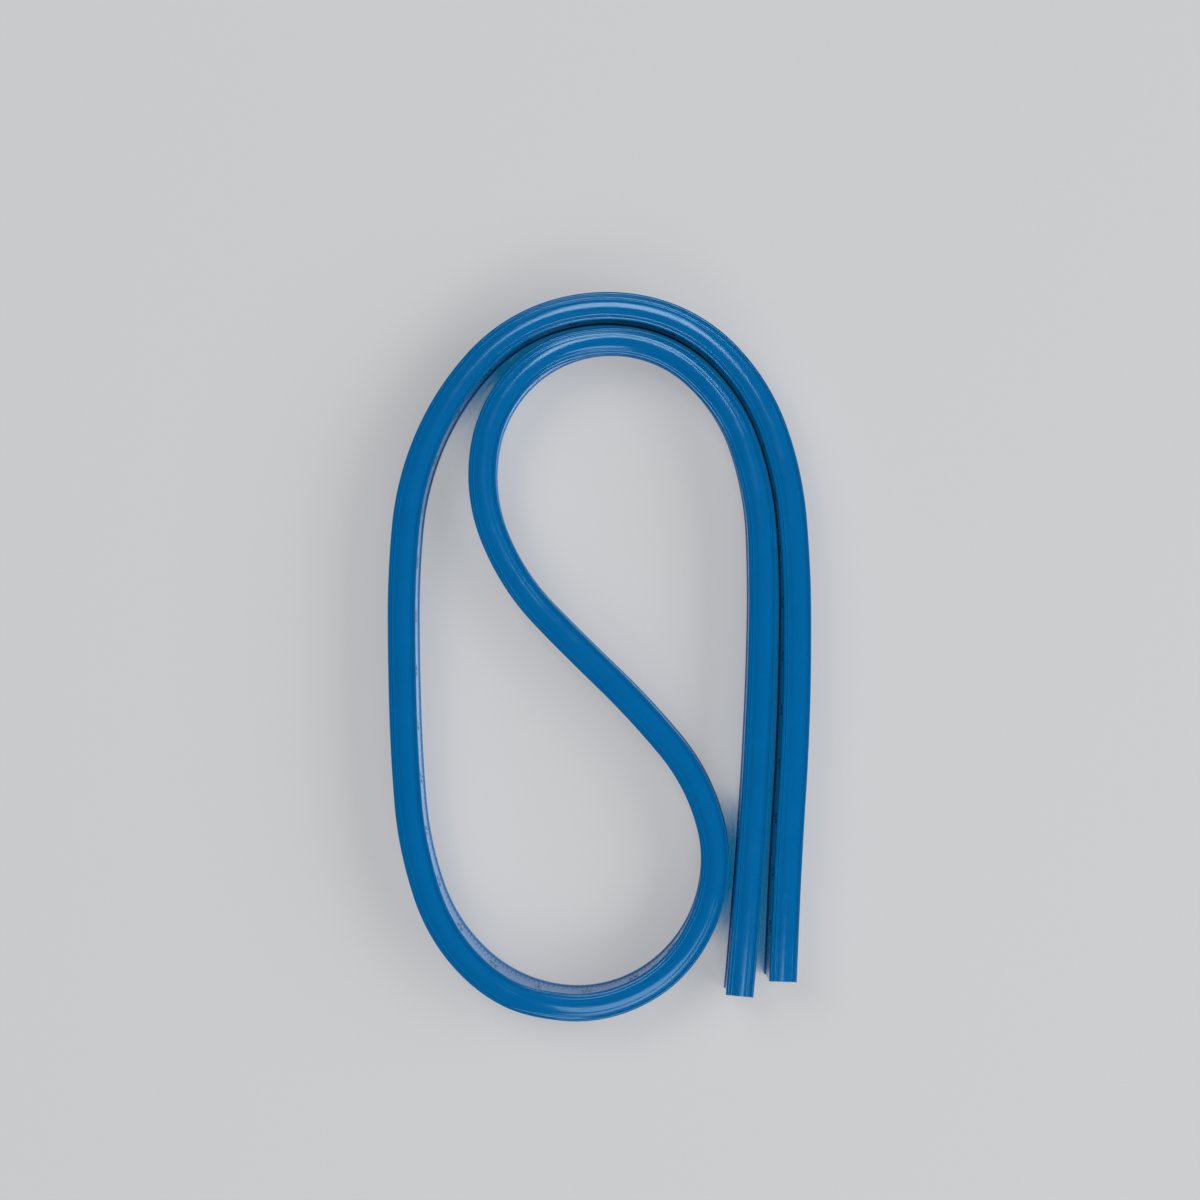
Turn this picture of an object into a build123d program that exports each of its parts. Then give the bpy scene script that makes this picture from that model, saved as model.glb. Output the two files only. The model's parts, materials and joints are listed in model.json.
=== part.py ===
from build123d import *
import math
import os

# A flexible curve ruler of 24 inches, laid in loops on a table as it was photographed.
# A vinyl cover holds a bar of soft lead between two strips of spring steel, and a plug closes each end.
# The lead stays as it is bent. Every place where the ruler can bend here is a hinge, upright on the table.
# The course starts at end A, goes up the inner leg, round the inner loop, down the diagonal, round the
# lower loop, up the left side, over the outer loop and down the outer leg to end B.
# X points right, Y up the picture and Z up from the table. The origin is at the middle of the foot.

# Cover, across the ruler and upright
top_width = 5.1
foot_width = 5.3
cover_height = 8.5
edge_bevel = 0.35
lip_height = 1.4
groove_width = 0.8
groove_depth = 0.15
panel_inset = 0.12

# Core, across the ruler and upright
lead_width = 2.4
steel_thickness = 0.25
core_height = 5.4
core_clearance = 0.05

# End plugs
plug_length = 5.0
plug_gap = 0.3

# Hinges between two stretches
hinge_clearance = 0.15
horn_clearance = 0.45
reverse_bend = 15.0
tip_inward = 15.0
tip_outward = 7.0

# Course on the table: stretches of the legs, and stretches of the loops, which are longer on a wider ruler
strand_gap = 0.34
leg_stretch = 17.0
loop_stretch_share = 3.0
start_heading = 84.8
leg_a_turns = (0.5, 1, 1, 1.5)
inner_loop_turns = (3.5, 16, 30, 41.5, 41, 39.5, 31.5, 22.5)
diagonal_turns = (2, -6.5)
lower_loop_turns = (-25.5, -35.5, -37, -38.5, -35, -29, -14.5)
left_side_turns = (-3, -1.5, -5.5, -18)
outer_loop_turns = (-19, -31, -29, -33, -25, -15, -5.5)
leg_b_turns = (-1, -2, 1, 0.5)
samples = 200

# Values worked out from the sizes above
widest = max(top_width, foot_width)
knuckle_radius = widest / 2
socket_radius = knuckle_radius + hinge_clearance
panel_half_width = min(top_width, foot_width) / 2 - panel_inset
core_width = lead_width + 2 * steel_thickness + 2 * core_clearance
cavity_width = core_width + 2 * core_clearance
cavity_height = core_height + 2 * core_clearance
steel_place = (lead_width + steel_thickness) / 2 + core_clearance
core_nose = math.sqrt(knuckle_radius**2 - (core_width / 2) ** 2) - hinge_clearance
overrun = 2 * cover_height
loop_stretch = loop_stretch_share * (foot_width + strand_gap)
up = (0, 0, 1)
down = (0, 0, -1)


class Stretch:
    """One stretch of the course: a place, a heading in degrees, a length and a steady turn in degrees."""

    def __init__(self, x, y, heading, length, turn):
        self.x, self.y, self.heading, self.length, self.turn = x, y, heading, length, turn

    def place(self, distance):
        """X, Y and heading after a distance along the stretch: a chord leans by half the turn so far."""
        turn = self.turn * distance / self.length
        half = math.radians(turn) / 2
        chord = distance * (math.sin(half) / half if half else 1)
        lean = math.radians(self.heading) + half
        return self.x + chord * math.cos(lean), self.y + chord * math.sin(lean), self.heading + turn

    def plane(self, distance=0):
        """Upright plane across the ruler: its X is the left side, its Y is up and its Z is forward."""
        x, y, heading = self.place(distance)
        angle = math.radians(heading)
        forward = (math.cos(angle), math.sin(angle), 0)
        left = (-math.sin(angle), math.cos(angle), 0)
        return Plane(origin=(x, y, 0), x_dir=left, z_dir=forward)

    def part(self, first, last):
        """The same stretch from one distance to another."""
        x, y, heading = self.place(first)
        return Stretch(x, y, heading, last - first, self.turn * (last - first) / self.length)

    def back(self):
        """The same stretch walked from its far end."""
        x, y, heading = self.place(self.length)
        return Stretch(x, y, heading + 180, self.length, -self.turn)


def walk(x, y):
    """The whole course from end A to end B, starting at a place."""
    loops = inner_loop_turns + diagonal_turns + lower_loop_turns + left_side_turns + outer_loop_turns
    pairs = [(leg_stretch, turn) for turn in leg_a_turns]
    pairs += [(loop_stretch, turn) for turn in loops]
    pairs += [(leg_stretch, turn) for turn in leg_b_turns]
    heading = start_heading
    found = []
    for length, turn in pairs:
        stretch = Stretch(x, y, heading, length, turn)
        found.append(stretch)
        x, y, heading = stretch.place(length)
    return found


def middle(values):
    """Halfway between the least and the greatest."""
    return (min(values) + max(values)) / 2


# The course is walked once to find its middle, and again with that middle at the origin
trial = [s.place(s.length * step / samples) for s in walk(0, 0) for step in range(samples + 1)]
course = walk(-middle([p[0] for p in trial]), -middle([p[1] for p in trial]))
tip_count = 1
arm_count = len(outer_loop_turns) + len(leg_b_turns)
tip = course[0].back()
fixed_run = course[tip_count:-arm_count]
arm = course[-arm_count:]


def cover_section(plane):
    """Hollow section of the cover: flat foot, sides that flare to a lip from a panel, and two grooves on top."""
    top_half = top_width / 2
    groove_start = top_half - edge_bevel
    with BuildSketch(plane) as section:
        with BuildLine():
            Polyline(
                (0, 0),
                (foot_width / 2, 0),
                (panel_half_width, lip_height),
                (panel_half_width, cover_height - lip_height),
                (top_half, cover_height - edge_bevel),
                (groove_start, cover_height),
                (groove_start - groove_width / 2, cover_height - groove_depth),
                (groove_start - groove_width, cover_height),
                (0, cover_height),
            )
            mirror(about=Plane.YZ)
        make_face()
        with Locations((0, cover_height / 2)):
            Rectangle(cavity_width, cavity_height, mode=Mode.SUBTRACT)
    return section.sketch


def bar_section(plane, across, width, height):
    """Upright bar in the cavity, at a place across the ruler."""
    with BuildSketch(plane) as section:
        with Locations((across, cover_height / 2)):
            Rectangle(width, height)
    return section.sketch


def carry(section, stretch):
    """Carry a section along a stretch: straight, or about the upright axis of its bend."""
    if not stretch.turn:
        extrude(section, amount=stretch.length, clean=False)
        return
    radius = stretch.length / math.radians(stretch.turn)
    angle = math.radians(stretch.heading)
    centre = (stretch.x - radius * math.sin(angle), stretch.y + radius * math.cos(angle), 0)
    axis = Axis(centre, up if stretch.turn > 0 else down)
    revolve(section, axis=axis, revolution_arc=abs(stretch.turn), clean=False)


def knuckle(stretch):
    """Round end at the start of a stretch, about the hinge, with the cavity running through it."""
    plane = stretch.plane()
    with BuildSketch(Plane(origin=plane.origin, x_dir=plane.z_dir, z_dir=up)) as round_end:
        Circle(knuckle_radius)
        with Locations((knuckle_radius / 2, 0)):
            Rectangle(knuckle_radius, 2 * knuckle_radius, mode=Mode.SUBTRACT)
    extrude(round_end.sketch, amount=cover_height)
    extrude(bar_section(plane, 0, cavity_width, cavity_height), amount=-overrun, mode=Mode.SUBTRACT)


def socket(plane, left_opening, right_opening):
    """Hollow seat for the next knuckle, cut back on each side as far as that knuckle's stretch swings."""
    with BuildSketch(Plane(origin=plane.origin, x_dir=plane.z_dir, z_dir=up)) as seat:
        Circle(socket_radius)
        swings = [(1, left_opening), (-1, right_opening)]
        for side, opening in [swing for swing in swings if swing[1]]:
            reach = knuckle_radius * math.sin(math.radians(opening)) + horn_clearance
            with Locations((0, side * socket_radius / 2)):
                Rectangle(2 * reach, socket_radius)
    extrude(seat.sketch, amount=overrun, both=True, mode=Mode.SUBTRACT)


def shortened(stretches, first_cut, last_cut):
    """The stretches with a length cut off at the start of the first and at the end of the last."""
    found = list(stretches)
    found[0] = found[0].part(first_cut, found[0].length)
    found[-1] = found[-1].part(0, found[-1].length - last_cut)
    return found


def opening(stretch):
    """How far the hinge at the start of an arm's stretch opens: its own bend undone, then bent back."""
    return abs(stretch.turn) + reverse_bend


def save(piece, name):
    """Label a piece and write it."""
    piece.part.label = name
    export_step(piece.part, f"parts/{name}.step")


def make_cover(name, stretches, has_knuckle, seats):
    """A length of the vinyl cover, with its knuckle and the seats of its neighbours' knuckles."""
    with BuildPart() as cover:
        for stretch in stretches:
            carry(cover_section(stretch.plane()), stretch)
        if has_knuckle:
            knuckle(stretches[0])
        for plane, left_opening, right_opening in seats:
            socket(plane, left_opening, right_opening)
    save(cover, f"cover_{name}")


def make_core(name, stretches, nose, last_cut):
    """The lead bar and the two steel strips in a length of the cover.

    A nose is how far they reach back into the knuckle. Without one they stop short of a socket.
    """
    first_cut = 0 if nose else socket_radius
    strips = (
        ("lead_bar", 0, lead_width),
        ("steel_strip_left", steel_place, steel_thickness),
        ("steel_strip_right", -steel_place, steel_thickness),
    )
    for kind, across, width in strips:
        with BuildPart() as bar:
            for stretch in shortened(stretches, first_cut, last_cut):
                carry(bar_section(stretch.plane(), across, width, core_height), stretch)
            if nose:
                extrude(bar_section(stretches[0].plane(), across, width, core_height), amount=-nose)
        save(bar, f"{kind}_{name}")


def make_plug(name, stretch):
    """Plug pressed into the open end of the cover, flush with it."""
    with BuildPart() as plug:
        seat = stretch.part(stretch.length - plug_length, stretch.length)
        carry(bar_section(seat.plane(), 0, core_width, core_height), seat)
    save(plug, f"end_plug_{name}")


os.makedirs("parts", exist_ok=True)
plug_cut = plug_length + plug_gap

# The run that lies still between its neighbours
fixed_seats = ((tip.plane(), tip_outward, tip_inward), (arm[0].plane(), opening(arm[0]), 0))
make_cover("fixed_run", fixed_run, False, fixed_seats)
make_core("fixed_run", fixed_run, 0, socket_radius)

# The tip at end A, which swings both ways
make_cover("tip", [tip], True, ())
make_core("tip", [tip], core_nose, plug_cut)
make_plug("a", tip)

# The arm: eleven stretches in a chain, from the left side over the outer loop to end B
for number, stretch in enumerate(arm, start=1):
    following = arm[number:number + 1]
    arm_seats = [(after.plane(), opening(after), 0) for after in following]
    make_cover(f"arm_{number:02d}", [stretch], True, arm_seats)
    make_core(f"arm_{number:02d}", [stretch], core_nose, socket_radius if following else plug_cut)
make_plug("b", arm[-1])

# Where the hinges stand, how far each opens, and the whole length
for number, stretch in enumerate([tip] + arm):
    print(f"hinge {number}: {stretch.x:.3f} {stretch.y:.3f}, turn {stretch.turn}, opens {opening(stretch):.1f}")
print(f"length {sum(stretch.length for stretch in course):.1f}")
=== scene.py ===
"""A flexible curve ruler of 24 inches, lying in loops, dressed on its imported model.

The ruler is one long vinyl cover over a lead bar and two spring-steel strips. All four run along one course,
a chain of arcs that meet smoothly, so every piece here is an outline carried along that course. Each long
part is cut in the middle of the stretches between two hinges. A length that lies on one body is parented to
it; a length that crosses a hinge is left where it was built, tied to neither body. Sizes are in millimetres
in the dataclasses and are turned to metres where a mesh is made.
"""

import json
import logging
import math
from dataclasses import dataclass, field
from enum import Enum

import bpy
import numpy as np
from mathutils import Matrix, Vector

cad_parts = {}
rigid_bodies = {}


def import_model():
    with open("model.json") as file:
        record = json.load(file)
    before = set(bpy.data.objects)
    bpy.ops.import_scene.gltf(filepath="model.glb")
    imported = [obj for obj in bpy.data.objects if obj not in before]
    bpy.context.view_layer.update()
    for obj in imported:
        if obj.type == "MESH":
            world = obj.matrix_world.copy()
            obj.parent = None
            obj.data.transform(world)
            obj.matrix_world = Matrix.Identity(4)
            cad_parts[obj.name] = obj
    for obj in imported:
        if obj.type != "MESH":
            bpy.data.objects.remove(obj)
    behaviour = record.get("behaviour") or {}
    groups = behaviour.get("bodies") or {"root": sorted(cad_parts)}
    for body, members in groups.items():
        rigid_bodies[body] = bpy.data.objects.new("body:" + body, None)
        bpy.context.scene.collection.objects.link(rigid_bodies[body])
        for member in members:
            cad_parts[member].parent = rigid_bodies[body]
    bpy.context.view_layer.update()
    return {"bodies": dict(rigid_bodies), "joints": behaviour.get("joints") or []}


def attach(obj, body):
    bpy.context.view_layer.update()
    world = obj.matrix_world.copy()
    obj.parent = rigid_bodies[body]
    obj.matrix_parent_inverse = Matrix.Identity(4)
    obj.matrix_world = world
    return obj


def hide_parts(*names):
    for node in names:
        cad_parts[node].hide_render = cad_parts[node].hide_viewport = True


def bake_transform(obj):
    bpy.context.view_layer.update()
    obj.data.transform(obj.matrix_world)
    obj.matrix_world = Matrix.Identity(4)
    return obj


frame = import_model()

MM = 0.001
INCH = 25.4
log = logging.getLogger("curve_ruler")


def linear(code: str) -> tuple[float, float, float, float]:
    """Turn an sRGB hex colour into the linear colour that shaders read.

    Args:
        code: Colour such as "#0061A8".

    Returns:
        Red, green, blue and an alpha of 1.
    """
    shares = [int(code[i:i + 2], 16) / 255 for i in (1, 3, 5)]
    values = [c / 12.92 if c <= 0.04045 else ((c + 0.055) / 1.055) ** 2.4 for c in shares]
    return values[0], values[1], values[2], 1.0


def add_node(
    tree: bpy.types.NodeTree,
    kind: str,
    settings: dict[str, object] | None = None,
    values: dict[object, object] | None = None,
    links: dict[object, bpy.types.NodeSocket] | None = None,
) -> bpy.types.Node:
    """Add one node to a tree, with its settings, socket values and links.

    Args:
        tree: Node tree of a material or of the world.
        kind: Node type, such as "ShaderNodeBump".
        settings: Properties of the node.
        values: Values of its inputs, by name or number.
        links: Outputs of other nodes that feed its inputs, by name or number.

    Returns:
        The new node.
    """
    node = tree.nodes.new(kind)
    for name, value in (settings or {}).items():
        setattr(node, name, value)
    for name, value in (values or {}).items():
        node.inputs[name].default_value = value
    for name, socket in (links or {}).items():
        tree.links.new(socket, node.inputs[name])
    return node


class Across(Enum):
    """The two walls of the ruler, by the sign of their place across it."""

    LEFT = 1
    RIGHT = -1


def new_finish(name: str) -> tuple[bpy.types.Material, bpy.types.NodeTree, bpy.types.Node]:
    """Make a material with its shader.

    Args:
        name: Name of the finish.

    Returns:
        The material, its node tree and its shader.
    """
    material = bpy.data.materials.new(name)
    material.use_nodes = True
    tree = material.node_tree
    return material, tree, tree.nodes["Principled BSDF"]


def spots(tree: bpy.types.NodeTree, size: float, detail: float) -> bpy.types.NodeSocket:
    """Spots of noise on Object coordinates, so that they stay on the piece.

    Args:
        tree: Node tree of a material.
        size: Size of the spots in millimetres.
        detail: How many finer layers they have.

    Returns:
        The noise, from 0 to 1.
    """
    place = add_node(tree, "ShaderNodeTexCoord")
    noise = add_node(tree, "ShaderNodeTexNoise", None, {"Scale": 1 / (size * MM), "Detail": detail},
                     {"Vector": place.outputs["Object"]})
    return noise.outputs["Fac"]


def drawn_lines(tree: bpy.types.NodeTree, length: float, width: float, detail: float) -> bpy.types.NodeSocket:
    """Noise stretched along the piece, on its UV map: the lines that a die or a roll leaves.

    Args:
        tree: Node tree of a material.
        length: Length of a line in millimetres.
        width: Width of a line in millimetres.
        detail: How many finer layers the lines have.

    Returns:
        The noise, from 0 to 1.
    """
    along = add_node(tree, "ShaderNodeUVMap", {"uv_map": "surface"})
    stretched = add_node(tree, "ShaderNodeMapping", None, {"Scale": (1 / (length * MM), 1 / (width * MM), 1)},
                         {"Vector": along.outputs["UV"]})
    lines = add_node(tree, "ShaderNodeTexNoise", {"noise_dimensions": "2D"}, {"Scale": 1.0, "Detail": detail},
                     {"Vector": stretched.outputs["Vector"]})
    return lines.outputs["Fac"]


@dataclass(frozen=True)
class GlossyVinyl:
    """Plasticised PVC, extruded through a die and cooled in water.

    It is glossy and of one deep blue. The die leaves faint lines along it, handling leaves dull scuffs, and
    its beads are painted a little darker in patches, as painted shade along the edges.
    """

    name: str = "extruded_blue_pvc"
    colour: str = "#0069A8"
    deeper: str = "#00609B"
    # Painted shade: the beads along both edges are painted this darker blue, in patches
    rubbed: str = "#005A90"
    ior: float = 1.52
    gloss: float = 0.08
    dulled: float = 0.14
    patch: float = 9.0
    scuff: float = 2.25
    scuff_range: tuple[float, float] = (0.35, 0.75)
    line_width: float = 0.12
    line_length: float = 30.0
    line_depth: float = 0.004
    line_strength: float = 0.5

    def build(self) -> bpy.types.Material:
        """Make the material, on Object coordinates and on the piece's own UV map and bead attribute.

        Returns:
            The material.
        """
        material, tree, shader = new_finish(self.name)
        shader.inputs["IOR"].default_value = self.ior
        scuffs = spots(tree, self.scuff, detail=4.0)
        tint = add_node(tree, "ShaderNodeMix", {"data_type": "RGBA"},
                        {6: linear(self.deeper), 7: linear(self.colour)},
                        {0: spots(tree, self.patch, detail=3.0)})
        # Painted shade: the bead attribute times the scuff noise darkens the beads along the edges
        bead = add_node(tree, "ShaderNodeAttribute", {"attribute_name": "bead"})
        edge_shade_mask = add_node(tree, "ShaderNodeMath", {"operation": "MULTIPLY"}, None,
                       {0: bead.outputs["Fac"], 1: scuffs})
        shaded_edges = add_node(tree, "ShaderNodeMix", {"data_type": "RGBA"}, {7: linear(self.rubbed)},
                        {0: edge_shade_mask.outputs["Value"], 6: tint.outputs[2]})
        dull = add_node(tree, "ShaderNodeMapRange", None,
                        {"From Min": self.scuff_range[0], "From Max": self.scuff_range[1],
                         "To Min": self.gloss, "To Max": self.dulled}, {"Value": scuffs})
        relief = add_node(tree, "ShaderNodeBump", None,
                          {"Strength": self.line_strength, "Distance": self.line_depth * MM},
                          {"Height": drawn_lines(tree, self.line_length, self.line_width, detail=2.0)})
        tree.links.new(shaded_edges.outputs[2], shader.inputs["Base Color"])
        tree.links.new(dull.outputs["Result"], shader.inputs["Roughness"])
        tree.links.new(relief.outputs["Normal"], shader.inputs["Normal"])
        return material


@dataclass(frozen=True)
class PrintedInk:
    """Near-black pad-printing ink on vinyl: a thin matt film, a little uneven where the pad pressed less."""

    name: str = "pad_printed_ink"
    colour: str = "#0C1420"
    thin: str = "#16263A"
    roughness: float = 0.3
    grain: float = 0.3

    def build(self) -> bpy.types.Material:
        """Make the material on Object coordinates.

        Returns:
            The material.
        """
        material, tree, shader = new_finish(self.name)
        shader.inputs["Roughness"].default_value = self.roughness
        tint = add_node(tree, "ShaderNodeMix", {"data_type": "RGBA"},
                        {6: linear(self.colour), 7: linear(self.thin)},
                        {0: spots(tree, self.grain, detail=2.0)})
        tree.links.new(tint.outputs[2], shader.inputs["Base Color"])
        return material


@dataclass(frozen=True)
class RolledMetal:
    """A metal bar or strip drawn through rolls: fine lines along it and patches of dull oxide."""

    name: str
    bright: str
    oxide: str
    roughness: float
    dull_roughness: float
    patch: float
    line_width: float
    line_depth: float
    line_length: float = 12.0
    line_strength: float = 0.6
    patch_range: tuple[float, float] = (0.3, 0.7)

    def build(self) -> bpy.types.Material:
        """Make the material, with its patches on Object coordinates and its lines on the UV map.

        Returns:
            The material.
        """
        material, tree, shader = new_finish(self.name)
        shader.inputs["Metallic"].default_value = 1.0
        patches = spots(tree, self.patch, detail=5.0)
        tint = add_node(tree, "ShaderNodeMix", {"data_type": "RGBA"},
                        {6: linear(self.bright), 7: linear(self.oxide)}, {0: patches})
        dull = add_node(tree, "ShaderNodeMapRange", None,
                        {"From Min": self.patch_range[0], "From Max": self.patch_range[1],
                         "To Min": self.roughness, "To Max": self.dull_roughness}, {"Value": patches})
        relief = add_node(tree, "ShaderNodeBump", None,
                          {"Strength": self.line_strength, "Distance": self.line_depth * MM},
                          {"Height": drawn_lines(tree, self.line_length, self.line_width, detail=3.0)})
        tree.links.new(tint.outputs[2], shader.inputs["Base Color"])
        tree.links.new(dull.outputs["Result"], shader.inputs["Roughness"])
        tree.links.new(relief.outputs["Normal"], shader.inputs["Normal"])
        return material


@dataclass(frozen=True)
class MouldedPlug:
    """Satin PVC of an injection-moulded plug: the cover's blue, a shade deeper, with a fine sparked grain."""

    name: str = "moulded_satin_pvc"
    colour: str = "#004F8C"
    paler: str = "#005C9E"
    ior: float = 1.52
    roughness: float = 0.42
    grain: float = 0.12
    grain_depth: float = 0.01
    grain_strength: float = 0.4

    def build(self) -> bpy.types.Material:
        """Make the material on Object coordinates.

        Returns:
            The material.
        """
        material, tree, shader = new_finish(self.name)
        shader.inputs["IOR"].default_value = self.ior
        shader.inputs["Roughness"].default_value = self.roughness
        grain = spots(tree, self.grain, detail=2.0)
        tint = add_node(tree, "ShaderNodeMix", {"data_type": "RGBA"},
                        {6: linear(self.colour), 7: linear(self.paler)}, {0: grain})
        relief = add_node(tree, "ShaderNodeBump", None,
                          {"Strength": self.grain_strength, "Distance": self.grain_depth * MM},
                          {"Height": grain})
        tree.links.new(tint.outputs[2], shader.inputs["Base Color"])
        tree.links.new(relief.outputs["Normal"], shader.inputs["Normal"])
        return material


@dataclass(frozen=True)
class Section:
    """Sizes that several pieces share, across the ruler, upright and at its ends, as the solids have them."""

    height: float = 8.5
    top_width: float = 5.1
    foot_width: float = 5.3
    panel_width: float = 4.86
    core_height: float = 5.4
    lead_width: float = 2.4
    steel_thickness: float = 0.25
    clearance: float = 0.05
    plug_length: float = 5.0
    plug_gap: float = 0.3

    @property
    def core_width(self) -> float:
        """Width of the lead bar and both steel strips, with the clearance between them."""
        return self.lead_width + 2 * self.steel_thickness + 2 * self.clearance


@dataclass
class Course:
    """The ruler's middle line on the table: a chain of arcs, each with its length and its turn in degrees.

    It starts at end A, goes up the inner leg, round the inner loop, down the diagonal, round the lower loop,
    up the left side, over the outer loop and down the outer leg to end B. The course's own box is centred on
    the origin. Each lean is a count of stretches from end A and how far the top leans to the left there, in
    millimetres, because the tightest bends have pushed the ruler askew.
    """

    section: Section = Section()
    strand_gap: float = 0.34
    leg_stretch: float = 17.0
    loop_stretch_share: float = 3.0
    start_heading: float = 84.8
    leg_a_turns: tuple[float, ...] = (0.5, 1, 1, 1.5)
    inner_loop_turns: tuple[float, ...] = (3.5, 16, 30, 41.5, 41, 39.5, 31.5, 22.5)
    diagonal_turns: tuple[float, ...] = (2, -6.5)
    lower_loop_turns: tuple[float, ...] = (-25.5, -35.5, -37, -38.5, -35, -29, -14.5)
    left_side_turns: tuple[float, ...] = (-3, -1.5, -5.5, -18)
    outer_loop_turns: tuple[float, ...] = (-19, -31, -29, -33, -25, -15, -5.5)
    leg_b_turns: tuple[float, ...] = (-1, -2, 1, 0.5)
    leans: tuple[tuple[float, float], ...] = (
        (0, 0.2), (5, 0.2), (6, 0.5), (7, 0.85), (8, 0.9), (9, 0.2), (11, 0.2), (12.5, -0.1), (14, -0.25),
        (16, -0.45), (17, -0.1), (18, 0.1), (18.6, 0.65), (20.5, 0.1), (28, -0.05), (31, -0.1), (33, 0.3),
        (36, 0.3))
    samples: int = 200
    turns: np.ndarray = field(init=False)
    lengths: np.ndarray = field(init=False)
    starts: np.ndarray = field(init=False)
    headings: np.ndarray = field(init=False)
    nodes: np.ndarray = field(init=False)

    def __post_init__(self) -> None:
        """Work out where each arc starts.

        An arc's chord leans by half its turn and is its length times sin(half turn) / half turn.
        """
        loops = (self.inner_loop_turns + self.diagonal_turns + self.lower_loop_turns + self.left_side_turns
                 + self.outer_loop_turns)
        loop_stretch = self.loop_stretch_share * (self.section.foot_width + self.strand_gap)
        self.turns = np.radians(np.array(self.leg_a_turns + loops + self.leg_b_turns, float))
        self.lengths = np.array([self.leg_stretch] * len(self.leg_a_turns) + [loop_stretch] * len(loops)
                                + [self.leg_stretch] * len(self.leg_b_turns))
        self.starts = np.concatenate([[0], np.cumsum(self.lengths)])
        self.headings = math.radians(self.start_heading) + np.concatenate([[0], np.cumsum(self.turns)])
        lean = self.headings[:-1] + self.turns / 2
        chord = self.lengths * np.sinc(self.turns / 2 / np.pi)
        steps = chord[:, None] * np.column_stack([np.cos(lean), np.sin(lean)])
        self.nodes = np.concatenate([np.zeros((1, 2)), np.cumsum(steps, axis=0)])
        shares = np.arange(self.samples) / self.samples
        along = (self.starts[:-1, None] + self.lengths[:, None] * shares).ravel()
        trial = self.at(np.append(along, self.end))[0]
        self.nodes -= (trial.min(axis=0) + trial.max(axis=0)) / 2

    @property
    def end(self) -> float:
        """The whole length of the course."""
        return float(self.starts[-1])

    def middle(self, stretch: int) -> float:
        """Distance from end A to the middle of a stretch, counted from 1."""
        return float(self.starts[stretch - 1] + self.starts[stretch]) / 2

    def at(self, distance: np.ndarray) -> tuple[np.ndarray, np.ndarray]:
        """Points and headings of the course.

        Args:
            distance: Distances from end A along the course.

        Returns:
            Points of shape (n, 2) and headings in radians.
        """
        stretch = np.clip(np.searchsorted(self.starts, distance, side="right") - 1, 0, len(self.turns) - 1)
        inside = distance - self.starts[stretch]
        turned = self.turns[stretch] * inside / self.lengths[stretch]
        lean = self.headings[stretch] + turned / 2
        chord = inside * np.sinc(turned / 2 / np.pi)
        points = self.nodes[stretch] + chord[:, None] * np.column_stack([np.cos(lean), np.sin(lean)])
        return points, self.headings[stretch] + turned

    def lean(self, distance: np.ndarray) -> np.ndarray:
        """How far the top stands to the left of the foot, where a tight bend has pushed the ruler askew.

        Between two of the leans at a count of stretches from end A it is a + (b - a) * s^2 * (3 - 2s).

        Args:
            distance: Distances from end A along the course.

        Returns:
            Leans in millimetres.
        """
        keys, values = np.array(self.leans, float).T
        count = np.interp(distance, self.starts, np.arange(len(self.starts)))
        i = np.clip(np.searchsorted(keys, count, side="right") - 1, 0, len(keys) - 2)
        s = (count - keys[i]) / (keys[i + 1] - keys[i])
        return values[i] + (values[i + 1] - values[i]) * s ** 2 * (3 - 2 * s)

    def place(self, distance: np.ndarray, across: np.ndarray, up: np.ndarray) -> np.ndarray:
        """Points beside the course: the middle line's point, plus part of its left-hand normal and a height.

        The lean moves a point across by its share of the height. It also tilts the top, whose raised edge
        stays at the ruler's height. The foot stays flat on the table.

        Args:
            distance: Distances from end A.
            across: Places across the ruler, positive to the left.
            up: Heights over the table.

        Returns:
            Points of shape (n, 3) in metres.
        """
        points, heading = self.at(distance)
        left = np.column_stack([-np.sin(heading), np.cos(heading)])
        height, half_foot = self.section.height, self.section.foot_width / 2
        lean, share = self.lean(distance), up / height
        sunk = (across * lean + half_foot * np.abs(lean)) / height * share
        return np.column_stack([points + (across + lean * share)[:, None] * left, up - sunk]) * MM


@dataclass(frozen=True)
class Span:
    """A length of the course that one piece of each long part covers, and the bodies that it lies on."""

    name: str
    first: float
    last: float
    bodies: tuple[str, ...]
    nodes: tuple[str, ...] = ()


@dataclass
class Patch:
    """Corners, faces and surface coordinates of a mesh in the making."""

    points: np.ndarray
    faces: list[np.ndarray]
    smooth: list[bool]
    uv: list[np.ndarray]
    bead: np.ndarray

    def mesh(self, name: str) -> bpy.types.Mesh:
        """Put the arrays into a mesh.

        Args:
            name: Name of the mesh.

        Returns:
            The mesh, with a UV map called surface and a point attribute called bead.
        """
        mesh = bpy.data.meshes.new(name)
        sizes = np.concatenate([np.full(len(f), f.shape[1]) for f in self.faces])
        corners = np.concatenate([f.ravel() for f in self.faces])
        mesh.vertices.add(len(self.points))
        mesh.vertices.foreach_set("co", self.points.astype(np.float32).ravel())
        mesh.loops.add(len(corners))
        mesh.loops.foreach_set("vertex_index", corners.astype(np.int32))
        mesh.polygons.add(len(sizes))
        starts = np.concatenate([[0], np.cumsum(sizes)[:-1]])
        mesh.polygons.foreach_set("loop_start", starts.astype(np.int32))
        smooth = np.concatenate([np.full(len(f), flag) for f, flag in zip(self.faces, self.smooth)])
        mesh.polygons.foreach_set("use_smooth", smooth)
        mesh.update(calc_edges=True)
        surface = mesh.uv_layers.new(name="surface")
        uv = np.concatenate([u.reshape(-1, 2) for u in self.uv])
        surface.data.foreach_set("uv", uv.astype(np.float32).ravel())
        bead = mesh.attributes.new("bead", "FLOAT", "POINT")
        bead.data.foreach_set("value", self.bead.astype(np.float32))
        mesh.validate()
        return mesh


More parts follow.
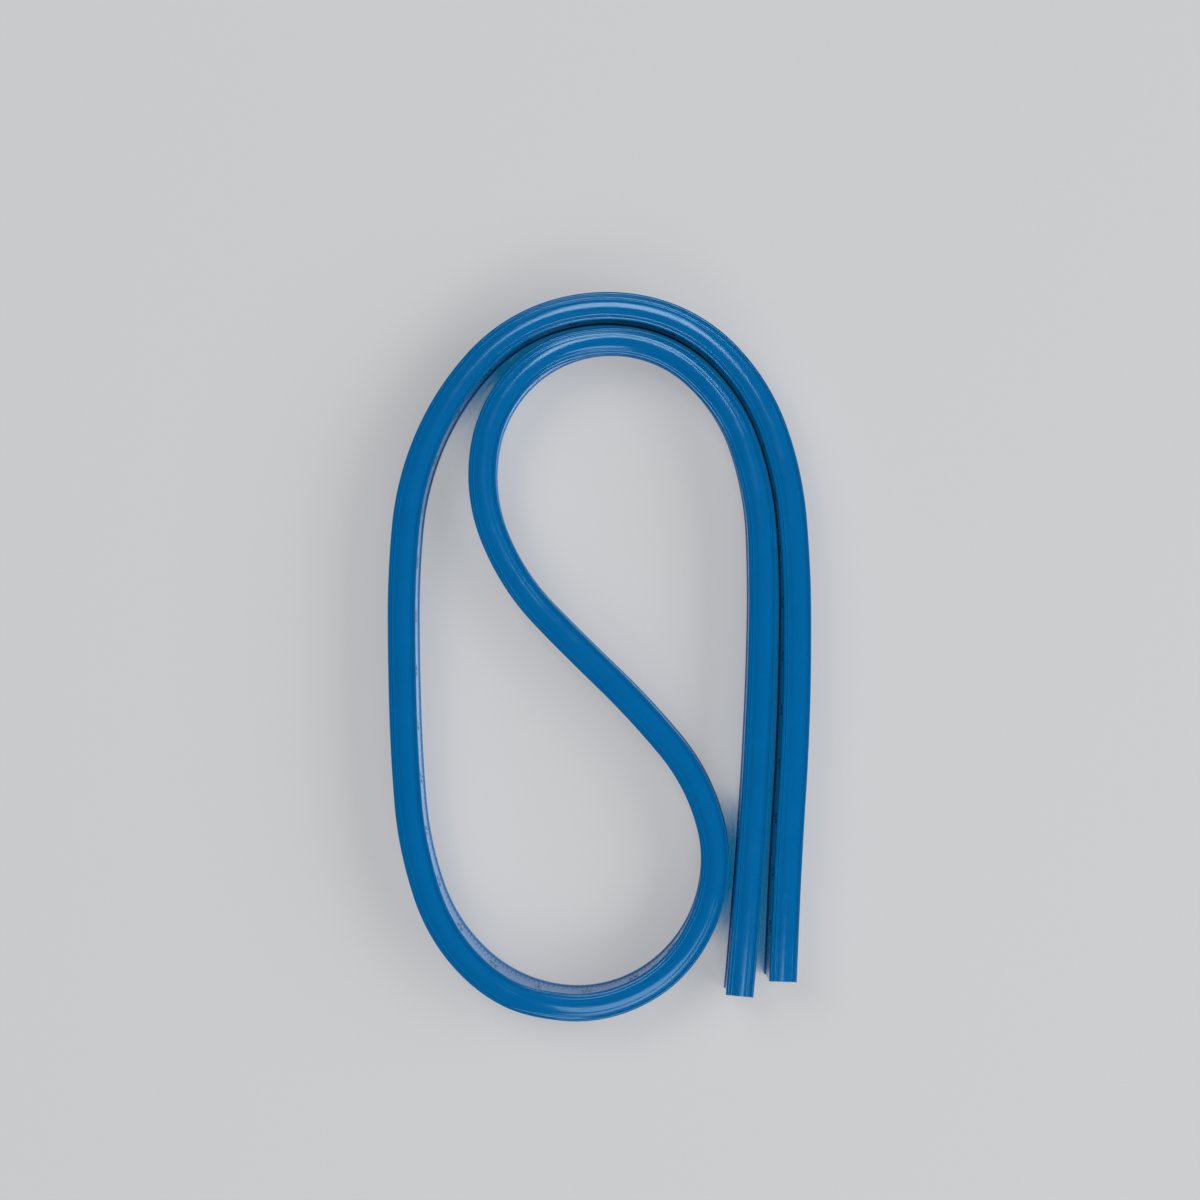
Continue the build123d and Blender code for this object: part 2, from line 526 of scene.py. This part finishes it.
@dataclass
class Workshop:
    """What every sub-assembly is built with, and the margins inside the ends of a piece that crosses a hinge.
    """

    course: Course
    spans: list[Span]
    finishes: dict[str, bpy.types.Material]
    bend_margins: tuple[float, float] = (4.2, 2.2)

    def dress(self, mesh: bpy.types.Mesh, span: Span, finish: str,
              nodes: list[str]) -> bpy.types.Object:
        """Make an object of a mesh, give it its finish and parent it to its body if it lies on only one.

        A piece that crosses a hinge is tied to neither of its bodies: the course's points a margin inside
        each of its ends are found but not used, and the piece stays where it was built. The first margin is
        the larger; the inner loop lies close before the hinge.

        Args:
            mesh: The finished mesh, with its place in it.
            span: The length of the course that it covers.
            finish: Name of the finish.
            nodes: CAD nodes that the piece stands for.

        Returns:
            The object.
        """
        piece = bpy.data.objects.new(mesh.name, mesh)
        bpy.context.scene.collection.objects.link(piece)
        mesh.materials.append(self.finishes[finish])
        if len(span.bodies) == 1:
            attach(piece, span.bodies[0])
        else:
            reach = np.array([span.first + self.bend_margins[0], span.last - self.bend_margins[1]])
            start, end = self.course.place(reach, np.zeros(2), np.zeros(2))
            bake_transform(piece)
        if nodes:
            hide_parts(*nodes)
        log.info("%s: %d faces on %s", piece.name, len(mesh.polygons), " and ".join(span.bodies))
        return piece


def rounded(corners: np.ndarray, radii: np.ndarray, steps: int) -> np.ndarray:
    """Round the corners of a closed outline.

    Each corner C with its neighbours P and N becomes the curve (1-t)^2 A + 2t(1-t) C + t^2 B, where A and B
    lie a radius from C towards P and N.

    Args:
        corners: Outline of shape (n, 2), counterclockwise.
        radii: How far each rounding reaches from its corner.
        steps: Points along each rounding.

    Returns:
        Outline of shape (n * steps, 2).
    """
    before = np.roll(corners, 1, axis=0) - corners
    after = np.roll(corners, -1, axis=0) - corners
    first = corners + before / np.linalg.norm(before, axis=1, keepdims=True) * radii[:, None]
    last = corners + after / np.linalg.norm(after, axis=1, keepdims=True) * radii[:, None]
    t = np.linspace(0, 1, steps)[None, :, None]
    curve = (1 - t) ** 2 * first[:, None] + 2 * t * (1 - t) * corners[:, None] + t ** 2 * last[:, None]
    return curve.reshape(-1, 2)


def ring_faces(rings: int, sides: int) -> tuple[np.ndarray, np.ndarray, np.ndarray]:
    """Faces between closed rings of points: face (i, j) joins points j and j + 1 of rings i and i + 1.

    Args:
        rings: How many rings there are.
        sides: How many points each ring has.

    Returns:
        Ring and side of each face, and its four corners.
    """
    i, j = (a.ravel() for a in np.meshgrid(np.arange(rings - 1), np.arange(sides), indexing="ij"))
    after = (j + 1) % sides
    near, far = i * sides, (i + 1) * sides
    return i, j, np.column_stack([near + j, near + after, far + after, far + j])


def carried(course: Course, outline: np.ndarray, distances: np.ndarray, smooth: bool, inward: bool,
            bead: np.ndarray | None = None) -> Patch:
    """Carry a closed outline along the course.

    The point (i, j) of the grid is the course's point at distance i, plus the outline's place across j times
    the left-hand normal there, plus the outline's height j.

    Args:
        course: The course.
        outline: Counterclockwise outline of shape (n, 2), across and up.
        distances: Distances of the rings from end A.
        smooth: Whether the faces shade smoothly.
        inward: Whether the faces look into the outline, as those of a cavity do.
        bead: How much each outline point lies on a bead, from 0 to 1.

    Returns:
        The surface, open at both ends.
    """
    rings, sides = len(distances), len(outline)
    ring, side = (a.ravel() for a in np.meshgrid(np.arange(rings), np.arange(sides), indexing="ij"))
    points = course.place(distances[ring], outline[side, 0], outline[side, 1])
    i, j, quads = ring_faces(rings, sides)
    around = np.concatenate([[0], np.cumsum(np.linalg.norm(np.roll(outline, -1, axis=0) - outline, axis=1))])
    u = distances[np.column_stack([i, i, i + 1, i + 1])] * MM
    v = around[np.column_stack([j, j + 1, j + 1, j])] * MM
    uv = np.stack([u, v], axis=-1)
    if inward:
        quads, uv = quads[:, ::-1], uv[:, ::-1]
    marks = np.zeros(sides) if bead is None else bead
    return Patch(points, [quads], [smooth], [uv], marks[side])


def end_wall(course: Course, outline: np.ndarray, hole: np.ndarray | None, distance: float,
             forward: bool) -> Patch:
    """Close the end of a carried outline with a flat wall, which may have a hole.

    Without a hole the wall is one face. With one, each edge of the outline makes a triangle with the nearest
    corner of the hole by direction from the middle, and each edge of the hole one with the outline point
    between.

    Args:
        course: The course.
        outline: Counterclockwise outer outline.
        hole: Counterclockwise outline of the hole, or None.
        distance: Where the wall stands.
        forward: Whether it looks along the course.

    Returns:
        The wall.
    """
    loop = outline if hole is None else np.concatenate([outline, hole])
    points = course.place(np.full(len(loop), distance), loop[:, 0], loop[:, 1])
    count = len(outline)
    if hole is None:
        faces = np.arange(count)[None, :]
    else:
        middle = hole.mean(axis=0)
        ahead = (np.arange(count) + 1) % count
        halfway = (outline + outline[ahead]) / 2 - middle
        out = np.arctan2(halfway[:, 1], halfway[:, 0])
        inner = np.arctan2(hole[:, 1] - middle[1], hole[:, 0] - middle[0])
        apart = np.abs((out[:, None] - inner[None, :] + np.pi) % (2 * np.pi) - np.pi)
        nearest = apart.argmin(axis=1)
        fans = np.column_stack([np.arange(count), ahead, count + nearest])
        turns = np.flatnonzero(nearest != np.roll(nearest, 1))
        joins = np.column_stack([turns, count + nearest[turns], count + np.roll(nearest, 1)[turns]])
        faces = np.concatenate([fans, joins])
    if not forward:
        faces = faces[:, ::-1]
    uv = loop[faces] * MM
    return Patch(points, [faces], [False], [uv], np.zeros(len(loop)))


def joined(patches: list[Patch]) -> Patch:
    """Put several patches into one.

    Args:
        patches: The patches.

    Returns:
        One patch with all of their points and faces.
    """
    starts = np.cumsum([0] + [len(p.points) for p in patches[:-1]])
    return Patch(
        np.concatenate([p.points for p in patches]),
        [f + start for p, start in zip(patches, starts) for f in p.faces],
        [s for p in patches for s in p.smooth],
        [u for p in patches for u in p.uv],
        np.concatenate([p.bead for p in patches]),
    )


def rectangle(width: float, height: float, across: float, up: float) -> np.ndarray:
    """Corners of an upright rectangle.

    Args:
        width: Its width, across the ruler.
        height: Its height.
        across: Place of its middle across the ruler.
        up: Height of its middle.

    Returns:
        The four corners, counterclockwise.
    """
    signs = np.array([(-1, -1), (1, -1), (1, 1), (-1, 1)], float)
    return signs * (width / 2, height / 2) + (across, up)


@dataclass
class Cover:
    """The extruded vinyl cover: a flat foot, printed panels between lips, and a crown between two grooves."""

    lip_height: float = 1.0
    lip_slope: float = 0.3
    bead_width: float = 0.55
    groove_width: float = 0.75
    groove_depth: float = 0.15
    groove_round: float = 0.22
    groove_edge_round: float = 0.2
    crown_rise: float = 0.09
    crown_round: float = 0.14
    crown_inset: float = 0.25
    crown_points: int = 9
    foot_round: float = 0.25
    lip_round: float = 0.2
    panel_round: float = 0.12
    top_round: float = 0.27
    ring_spacing: float = 0.5
    corner_steps: int = 5

    def outline(self, section: Section) -> tuple[np.ndarray, np.ndarray]:
        """Outline of the section with rounded corners, and how much each of its points lies on a bead.

        The crown is the curve up = height - rise * (across / half width)^2 between the two grooves.

        Args:
            section: The sizes that it shares with other pieces.

        Returns:
            Counterclockwise outline and one value for each of its points.
        """
        height, foot, top = section.height, section.foot_width / 2, section.top_width / 2
        panel = section.panel_width / 2
        lip_end = self.lip_height + self.lip_slope
        groove_out = top - self.bead_width
        groove_in = groove_out - self.groove_width
        groove_mid = (groove_out + groove_in) / 2
        # Across, up, how far the rounding reaches, and 1 on the bead
        half = np.array([
            (foot, 0, self.foot_round, 0),
            (foot, self.lip_height, self.lip_round, 0),
            (panel, lip_end, self.panel_round, 0),
            (panel, height - lip_end, self.panel_round, 0),
            (top, height - self.lip_height, self.lip_round, 0),
            (top, height, self.top_round, 1),
            (groove_out, height, self.groove_edge_round, 1),
            (groove_mid, height - self.groove_depth, self.groove_round, 0),
            (groove_in, height - self.crown_rise, self.crown_round, 0),
        ], float)
        mirrored = half[::-1] * (-1, 1, 1, 1)
        both = np.concatenate([half, mirrored])
        smooth = rounded(both[:, :2], both[:, 2], self.corner_steps)
        bead = np.repeat(both[:, 3], self.corner_steps)
        side = len(half) * self.corner_steps
        crown_half = groove_in - self.crown_inset
        across = np.linspace(crown_half, -crown_half, self.crown_points)
        crown = np.column_stack([across, height - self.crown_rise * (across / groove_in) ** 2])
        outline = np.concatenate([smooth[:side], crown, smooth[side:]])
        return outline, np.concatenate([bead[:side], np.zeros(len(crown)), bead[side:]])

    def build(self, shop: Workshop) -> None:
        """Build a length of the cover for each span.

        Args:
            shop: The course, the spans and the finishes.
        """
        section = shop.course.section
        outline, bead = self.outline(section)
        room = 2 * section.clearance
        cavity = rectangle(section.core_width + room, section.core_height + room, 0, section.height / 2)
        for span in shop.spans:
            count = max(2, math.ceil((span.last - span.first) / self.ring_spacing) + 1)
            rings = np.linspace(span.first, span.last, count)
            skin = joined([
                carried(shop.course, outline, rings, True, False, bead),
                carried(shop.course, cavity, rings, False, True),
                end_wall(shop.course, outline, cavity, span.first, False),
                end_wall(shop.course, outline, cavity, span.last, True),
            ])
            nodes = [f"cover_{node}" for node in span.nodes]
            shop.dress(skin.mesh(f"vinyl_cover_{span.name}"), span, "vinyl", nodes)


@dataclass
class Core:
    """The lead bar that keeps the bend, between two strips of spring steel that smooth it."""

    ring_spacing: float = 1.0
    lead_round: float = 0.2
    steel_round: float = 0.05
    corner_steps: int = 3

    def build(self, shop: Workshop) -> None:
        """Build a length of the bar and of both strips for each span. They stop short of the end plugs.

        Args:
            shop: The course, the spans and the finishes.
        """
        section = shop.course.section
        plug_cut = section.plug_length + section.plug_gap
        thin = section.steel_thickness
        beside = (section.lead_width + thin) / 2 + section.clearance
        bars = (
            ("lead_bar", 0, section.lead_width, self.lead_round, "lead", "lead_core"),
            ("steel_strip_left", beside, thin, self.steel_round, "steel", "spring_steel"),
            ("steel_strip_right", -beside, thin, self.steel_round, "steel", "spring_steel"),
        )
        for name, across, width, radius, finish, slot in bars:
            corners = rectangle(width, section.core_height, across, section.height / 2)
            outline = rounded(corners, np.full(len(corners), radius), self.corner_steps)
            for span in shop.spans:
                first = max(span.first, plug_cut)
                last = min(span.last, shop.course.end - plug_cut)
                count = max(2, math.ceil((last - first) / self.ring_spacing) + 1)
                bar = joined([
                    carried(shop.course, outline, np.linspace(first, last, count), True, False),
                    end_wall(shop.course, outline, None, first, False),
                    end_wall(shop.course, outline, None, last, True),
                ])
                nodes = [f"{name}_{node}" for node in span.nodes]
                shop.dress(bar.mesh(f"{name}_{span.name}_inner"), span, finish, nodes)


@dataclass
class EndPlugs:
    """The moulded plug in each end of the cover, with an eased edge and a slightly hollow face.

    The edge's shares say how deep a ring lies and how far it has drawn in. The dish's shares say how deep a
    ring lies in the face and how wide it is.
    """

    edge: float = 0.18
    edge_shares: tuple[tuple[float, float], ...] = ((1, 0), (1 / 2, 0.12), (1 / 6, 0.3), (0, 0.6), (0, 1))
    corner: float = 0.3
    corner_steps: int = 4
    dish: float = 0.12
    dish_shares: tuple[tuple[float, float], ...] = ((0.4, 0.66), (0.8, 0.33), (1, 0.02))

    def build(self, shop: Workshop) -> None:
        """Build both plugs: the outline shrinks by the edge at the plug's end and then dishes to its middle.

        Args:
            shop: The course, the spans and the finishes.
        """
        section = shop.course.section
        size = np.array([section.core_width, section.core_height])
        corners = rectangle(size[0], size[1], 0, 0)
        outline = rounded(corners, np.full(len(corners), self.corner), self.corner_steps)
        edge_back, edge_in = np.array(self.edge_shares, float).T
        dish_back, dish_width = np.array(self.dish_shares, float).T
        depth = np.concatenate([[section.plug_length], self.edge * edge_back, self.dish * dish_back])
        drawn_in = np.concatenate([[0], edge_in, np.ones(len(dish_back))])
        shares = np.concatenate([np.ones(len(edge_in) + 1), dish_width])
        scale = shares[:, None, None] * (1 - drawn_in[:, None, None] * 2 * self.edge / size)
        loops = outline[None] * scale + (0, section.height / 2)
        across, up = loops[..., 0].ravel(), loops[..., 1].ravel()
        rings, sides = len(depth), len(outline)
        quads = ring_faces(rings, sides)[2]
        caps = np.stack([np.arange(sides)[::-1], (rings - 1) * sides + np.arange(sides)])
        ends = (("a", shop.spans[0], 0.0, -1), ("b", shop.spans[-1], shop.course.end, 1))
        for name, span, tip, towards in ends:
            points = shop.course.place(np.repeat(tip - towards * depth, sides), across, up)
            faces = [quads[:, ::towards], caps[:, ::towards]]
            uv = [points[face, :2] for face in faces]
            plug = Patch(points, faces, [True, False], uv, np.zeros(len(points)))
            shop.dress(plug.mesh(f"plug_{name}"), span, "plug", [f"end_plug_{name}"])


@dataclass
class Graduations:
    """Ink on the two printed panels: centimetres and millimetres on the right wall, inches on the left.

    Each scale reads from left to right as its own wall is faced, so the two start at opposite ends.
    """

    baseline: float = 1.45
    lift: float = 0.02
    film: float = 0.03
    stroke: float = 0.2
    end_margin: float = 0.6
    metric_heights: tuple[float, float, float] = (1.5, 2.2, 3.0)
    inch_heights: tuple[float, ...] = (1.2, 1.6, 2.0, 2.5, 3.0)
    number_height: float = 1.7
    number_gap: float = 0.35
    digit_gap: float = 0.18
    digit_curve_steps: int = 3

    def glyphs(self) -> list[tuple[np.ndarray, np.ndarray, float]]:
        """Flat meshes of the ten digits in Blender's own plain font, scaled to the number height.

        Returns:
            Points, triangles and width of each digit.
        """
        found = []
        for digit in range(10):
            curve = bpy.data.curves.new(f"digit_{digit}", "FONT")
            curve.body = str(digit)
            curve.resolution_u = self.digit_curve_steps
            holder = bpy.data.objects.new(f"digit_{digit}", curve)
            mesh = bpy.data.meshes.new_from_object(holder)
            mesh.calc_loop_triangles()
            points = np.empty(len(mesh.vertices) * 3)
            mesh.vertices.foreach_get("co", points)
            triangles = np.empty(len(mesh.loop_triangles) * 3, int)
            mesh.loop_triangles.foreach_get("vertices", triangles)
            points = points.reshape(-1, 3)[:, :2]
            points = (points - points.min(axis=0)) * self.number_height / np.ptp(points[:, 1])
            found.append((points, triangles.reshape(-1, 3), float(np.ptp(points[:, 0]))))
            bpy.data.objects.remove(holder)
            bpy.data.curves.remove(curve)
            bpy.data.meshes.remove(mesh)
        return found

    def marks(self, end: float) -> list[tuple[Across, float, np.ndarray, np.ndarray]]:
        """Every tick and digit, as a flat mesh on the wall.

        Its x runs as the wall is read and its y runs up from the foot. A millimetre's tick is longer at each
        half and longer still at each whole centimetre. An inch is halved again and again, down to sixteenths,
        and its ticks are shorter at each halving.

        Args:
            end: Length of the ruler.

        Returns:
            Wall, distance of the mark from end A, points and triangles.
        """
        digits = self.glyphs()
        found = []
        tick = np.array([(-0.5, 0), (0.5, 0), (0.5, 1), (-0.5, 1)])
        pair = np.array([(0, 1, 2), (0, 2, 3)])
        metric = [(Across.RIGHT, float(n), self.metric_heights[(n % 5 == 0) + (n % 10 == 0)], n / 10)
                  for n in range(1, int(end))]
        halvings = len(self.inch_heights) - 1
        inches = []
        for n in range(1, int(end / INCH * 2 ** halvings) + 1):
            rank = min(halvings, (n & -n).bit_length() - 1)
            inches.append((Across.LEFT, n * INCH / 2 ** halvings, self.inch_heights[rank], n / 2 ** halvings))
        for wall, reading, height, number in metric + inches:
            distance = reading if wall is Across.RIGHT else end - reading
            if not self.end_margin < distance < end - self.end_margin:
                continue
            found.append((wall, distance, tick * (self.stroke, height) + (0, self.baseline), pair))
            if number != int(number):
                continue
            text = str(int(number))
            widths = [digits[int(c)][2] for c in text]
            pen = -(sum(widths) + self.digit_gap * (len(text) - 1)) / 2
            for c, width in zip(text, widths):
                points, triangles, _ = digits[int(c)]
                at = (pen, self.baseline + height + self.number_gap)
                found.append((wall, distance, points + at, triangles))
                pen += width + self.digit_gap
        return found

    def build(self, shop: Workshop) -> None:
        """Lay the marks of each span on the walls as one thin film.

        Args:
            shop: The course, the spans and the finishes.
        """
        marks = self.marks(shop.course.end)
        for span in shop.spans:
            inside = [m for m in marks if span.first <= m[1] < span.last]
            sizes = [len(points) for _, _, points, _ in inside]
            wall = np.repeat([m[0].value for m in inside], sizes)
            flat = np.concatenate([m[2] for m in inside])
            distance = np.repeat([m[1] for m in inside], sizes) - wall * flat[:, 0]
            across = wall * (shop.course.section.panel_width / 2 + self.lift)
            points = shop.course.place(distance, across, flat[:, 1])
            starts = np.cumsum([0] + sizes[:-1])
            faces = np.concatenate([m[3] + start for m, start in zip(inside, starts)])
            film = Patch(points, [faces], [False], [flat[faces] * MM], np.zeros(len(points)))
            piece = shop.dress(film.mesh(f"graduations_{span.name}"), span, "ink", [])
            body = piece.modifiers.new("film", "SOLIDIFY")
            body.thickness = self.film * MM
            body.offset = -1


@dataclass(frozen=True)
class Lamp:
    """A soft rectangular lamp that looks at the middle of the ruler.

    Its place, width and depth are in metres and its power is in watts. One that isn't mirrored hangs behind
    polarising film: it lights the ruler but leaves no glare on the gloss.
    """

    name: str
    place: tuple[float, float, float]
    size: tuple[float, float]
    power: float
    mirrored: bool = False
    colour: str = "#FFFFFF"

    def hang(self) -> None:
        """Put the lamp in its place."""
        data = bpy.data.lights.new(self.name, "AREA")
        data.shape = "RECTANGLE"
        data.size, data.size_y = self.size
        data.energy = self.power
        data.color = linear(self.colour)[:3]
        lamp = bpy.data.objects.new(self.name, data)
        lamp.location = self.place
        lamp.rotation_euler = (-Vector(self.place)).to_track_quat("-Z", "Y").to_euler()
        lamp.visible_glossy = self.mirrored
        bpy.context.scene.collection.objects.link(lamp)


@dataclass
class Studio:
    """Pale floor, soft lamps and the camera that looks straight down as the photograph does.

    The key comes from the upper left, the side lamp from low on the right and the fill from the near side.
    Only the two dim, cool boxes overhead show in the gloss, as the bright lines along the loops. The floor's
    size and the nearest and farthest distance that the camera sees are in metres.
    """

    floor_colour: str = "#D0CFD0"
    floor_roughness: float = 0.7
    bounce_colour: str = "#F0F6FF"
    # Painted shade and painted light: the dark teal that the card is painted, and glows, in the narrow gaps
    narrow_colour: str = "#0A5274"
    shadow_fill: float = 0.5
    mirrored_fill: float = 0.15
    narrow: float = 8.0
    narrow_samples: int = 16
    narrow_shares: tuple[float, float] = (0.26, 0.36)
    # How bright the painted teal glow of the gaps is to the camera and gloss, and to diffuse rays
    narrow_glow: float = 1.0
    narrow_bounce: float = 5.0
    floor_size: float = 4.0
    lamps: tuple[Lamp, ...] = (
        Lamp("key", (-0.75, 0.80, 1.15), (0.9, 0.9), 9.6),
        Lamp("side", (1.6, -0.1, 0.9), (2.4, 1.2), 35.0),
        Lamp("fill", (0.1, -1.1, 0.8), (0.8, 0.6), 5.2),
        Lamp("box_far", (0.03, 0.27, 1.2), (0.2, 0.2), 1.0, mirrored=True, colour="#D0F2FF"),
        Lamp("box_near", (0.10, -0.45, 1.15), (0.3, 0.35), 1.25, mirrored=True, colour="#D0F2FF"),
    )
    surround: float = 0.02
    backdrop: float = 0.8
    view_width: float = 220.4
    view_centre: tuple[float, float] = (0.11, 10.36)
    view_top: float = Section().height
    camera_height: float = 386.0
    sensor_width: float = 36.0
    clip: tuple[float, float] = (0.01, 10.0)

    def card(self) -> bpy.types.Material:
        """Matt card, pale grey and glowing a little, so that shadows stay light.

        Where the ruler's lengths stand so close that hardly any of the room is left above the floor, the card
        is painted a dark teal there, as painted shade, and glows in that teal, as painted light on the walls
        beside it;
        this glow is five times as bright to diffuse rays as to other rays. Every ray but the camera's sees
        the open card nearly white, as a sheet of plain paper would be that lies under it, and gloss mirrors
        that.

        Returns:
            The material.
        """
        material, tree, shader = new_finish("matt_pale_card")
        shader.inputs["Roughness"].default_value = self.floor_roughness
        shader.inputs["Specular IOR Level"].default_value = 0.0
        pale, narrow = linear(self.floor_colour), linear(self.narrow_colour)
        lit = tuple(value * (1 - self.shadow_fill) for value in pale[:3]) + (1.0,)
        rays = add_node(tree, "ShaderNodeLightPath")
        room = add_node(tree, "ShaderNodeAmbientOcclusion", {"samples": self.narrow_samples},
                        {"Distance": self.narrow * MM})
        wide = add_node(tree, "ShaderNodeMapRange", None,
                        {"From Min": self.narrow_shares[0], "From Max": self.narrow_shares[1]},
                        {"Value": room.outputs["AO"]})
        seen = add_node(tree, "ShaderNodeMix", {"data_type": "RGBA"}, {6: linear(self.bounce_colour), 7: lit},
                        {0: rays.outputs["Is Camera Ray"]})
        # Painted shade: the card's colour turns to the dark teal where the room above it closes in
        tint = add_node(tree, "ShaderNodeMix", {"data_type": "RGBA"}, {6: narrow},
                        {0: wide.outputs["Result"], 7: seen.outputs[2]})
        # Painted light: the narrow gaps glow teal and the open card glows pale
        glow = add_node(tree, "ShaderNodeMix", {"data_type": "RGBA"}, {6: narrow, 7: pale},
                        {0: wide.outputs["Result"]})
        share = add_node(tree, "ShaderNodeMath", {"operation": "MULTIPLY_ADD"}, {1: self.mirrored_fill},
                         {0: rays.outputs["Is Glossy Ray"], 2: rays.outputs["Is Camera Ray"]})
        filled = add_node(tree, "ShaderNodeMath", {"operation": "MULTIPLY"}, {1: self.shadow_fill},
                          {0: share.outputs["Value"]})
        # Painted light: the teal glow of the gaps is brighter to diffuse rays, so that it lights the walls
        # there
        deep = add_node(tree, "ShaderNodeMapRange", None,
                        {"To Min": self.narrow_glow, "To Max": self.narrow_bounce},
                        {"Value": rays.outputs["Is Diffuse Ray"]})
        strength = add_node(tree, "ShaderNodeMapRange", None, None,
                            {"Value": wide.outputs["Result"], "To Min": deep.outputs["Result"],
                             "To Max": filled.outputs["Value"]})
        tree.links.new(tint.outputs[2], shader.inputs["Base Color"])
        tree.links.new(glow.outputs[2], shader.inputs["Emission Color"])
        tree.links.new(strength.outputs["Result"], shader.inputs["Emission Strength"])
        return material

    def floor(self) -> None:
        """Lay the card under the ruler."""
        half = self.floor_size / 2
        corners = [(-half, -half, 0), (half, -half, 0), (half, half, 0), (-half, half, 0)]
        mesh = bpy.data.meshes.new("floor")
        mesh.from_pydata(corners, [], [(0, 1, 2, 3)])
        mesh.materials.append(self.card())
        floor = bpy.data.objects.new("floor", mesh)
        bpy.context.scene.collection.objects.link(floor)

    def light(self) -> None:
        """Hang the lamps in a dark room whose backdrop is pale to the camera."""
        for lamp in self.lamps:
            lamp.hang()
        world = bpy.data.worlds.new("surround")
        world.use_nodes = True
        bpy.context.scene.world = world
        tree = world.node_tree
        rays = add_node(tree, "ShaderNodeLightPath")
        pale = add_node(tree, "ShaderNodeMix", {"data_type": "RGBA"},
                        {6: (self.surround,) * 3 + (1,), 7: (self.backdrop,) * 3 + (1,)},
                        {0: rays.outputs["Is Camera Ray"]})
        tree.links.new(pale.outputs[2], tree.nodes["Background"].inputs["Color"])

    def camera(self) -> None:
        """Hang the camera over the middle of the picture, with the lens that gives the picture's width."""
        data = bpy.data.cameras.new("camera")
        data.sensor_width = self.sensor_width
        data.lens = self.sensor_width * self.camera_height / self.view_width
        data.clip_start, data.clip_end = self.clip
        camera = bpy.data.objects.new("camera", data)
        camera.location = np.array([*self.view_centre, self.view_top + self.camera_height]) * MM
        bpy.context.scene.collection.objects.link(camera)
        bpy.context.scene.camera = camera

    def build(self) -> None:
        """Set the stage."""
        self.camera()
        self.floor()
        self.light()
        bpy.context.scene.view_settings.view_transform = "Standard"


def spans_of(course: Course) -> list[Span]:
    """Cut the course in the middle of each stretch that ends at a hinge.

    Args:
        course: The course.

    Returns:
        The spans from end A to end B: an end, a bend, the run that lies still, eleven bends and an end.
    """
    arms = sorted(body for body in frame["bodies"] if body.startswith("arm"))
    last = len(course.turns) - len(arms)
    cuts = [course.middle(last + number) for number in range(len(arms) + 1)]
    spans = [
        Span("end_a", 0, course.middle(1), ("tip",)),
        Span("bend_tip", course.middle(1), course.middle(2), ("tip", "fixed_run"), ("tip",)),
        Span("run", course.middle(2), cuts[0], ("fixed_run",), ("fixed_run",)),
    ]
    parents = ["fixed_run"] + arms[:-1]
    for number, (parent, arm) in enumerate(zip(parents, arms)):
        spans.append(Span(f"bend_{number + 1:02d}", cuts[number], cuts[number + 1], (parent, arm), (arm,)))
    spans.append(Span("end_b", cuts[-1], course.end, (arms[-1],)))
    return spans


def main() -> None:
    """Build the ruler from its cover to its print, then the studio."""
    logging.basicConfig(level=logging.INFO, format="%(name)s: %(message)s")
    course = Course()
    hinges = np.array([joint["pos_m"][:2] for joint in frame["joints"]]) / MM
    apart = np.linalg.norm(hinges[:, None] - course.nodes[None], axis=-1).min(axis=1)
    log.info("hinges lie on the course to %.4f mm", apart.max())
    lead = RolledMetal("rolled_soft_lead", "#8E9094", "#5F6166", roughness=0.42, dull_roughness=0.62,
                       patch=1.6, line_width=0.25, line_depth=0.02)
    steel = RolledMetal("blued_spring_steel", "#B4B7BA", "#8A8D92", roughness=0.24, dull_roughness=0.36,
                        patch=3.0, line_width=0.06, line_depth=0.003)
    finishes = {
        "vinyl": GlossyVinyl().build(),
        "ink": PrintedInk().build(),
        "lead": lead.build(),
        "steel": steel.build(),
        "plug": MouldedPlug().build(),
    }
    shop = Workshop(course, spans_of(course), finishes)
    for assembly in (Cover(), Core(), EndPlugs(), Graduations()):
        assembly.build(shop)
    Studio().build()


if __name__ == "__main__":
    main()
